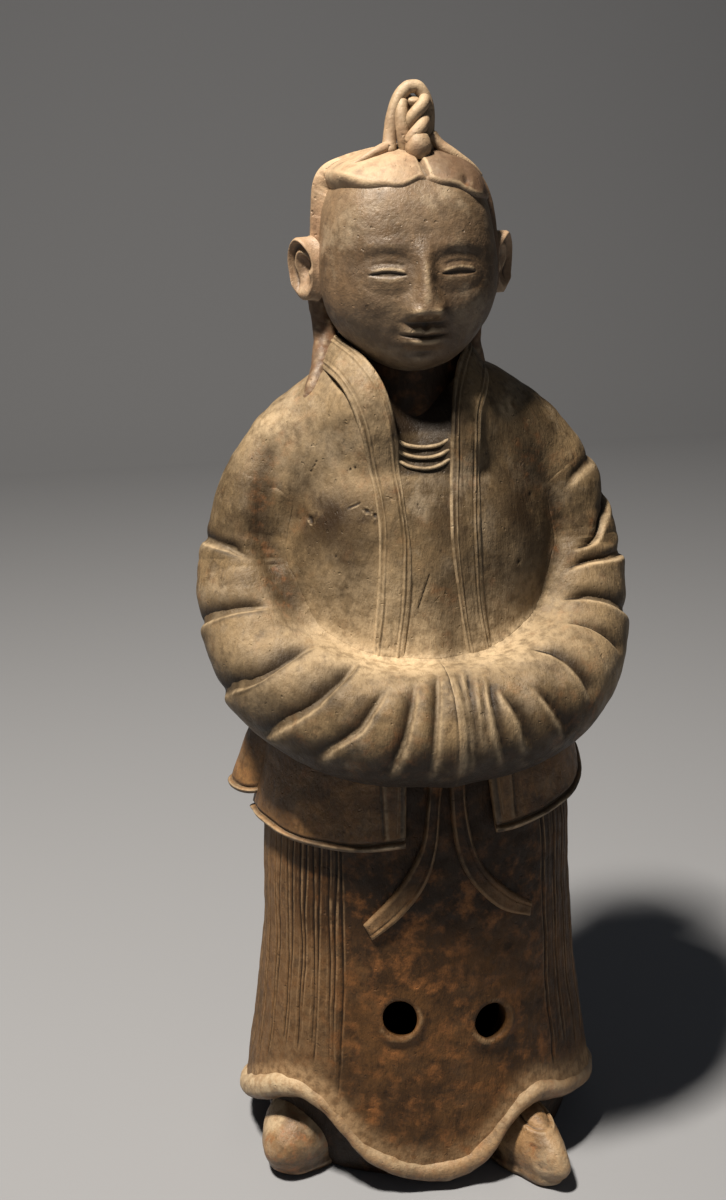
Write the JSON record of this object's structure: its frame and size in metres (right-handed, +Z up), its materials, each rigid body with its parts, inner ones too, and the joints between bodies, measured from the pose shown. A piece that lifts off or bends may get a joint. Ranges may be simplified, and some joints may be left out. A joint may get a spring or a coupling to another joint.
{
  "type": "pottery standing figure",
  "caption": "Hollow fired-clay standing figure in a long belted robe, hands joined in wide sleeves, hair tied in a looped topknot; open below, with round vents.",
  "frame": {"origin": "on the ground under the middle of the figure's outline", "axes": "+Z up through the head; the figure faces -Y; +X is toward the figure's left hand"},
  "size_m": [0.1584, 0.1236, 0.4],
  "materials": {
    "fired_clay": "matte fired earthenware, unglazed, with traces of earth"
  },
  "bodies": {
    "root": {"figure": "fired_clay"}
  },
  "joints": []
}
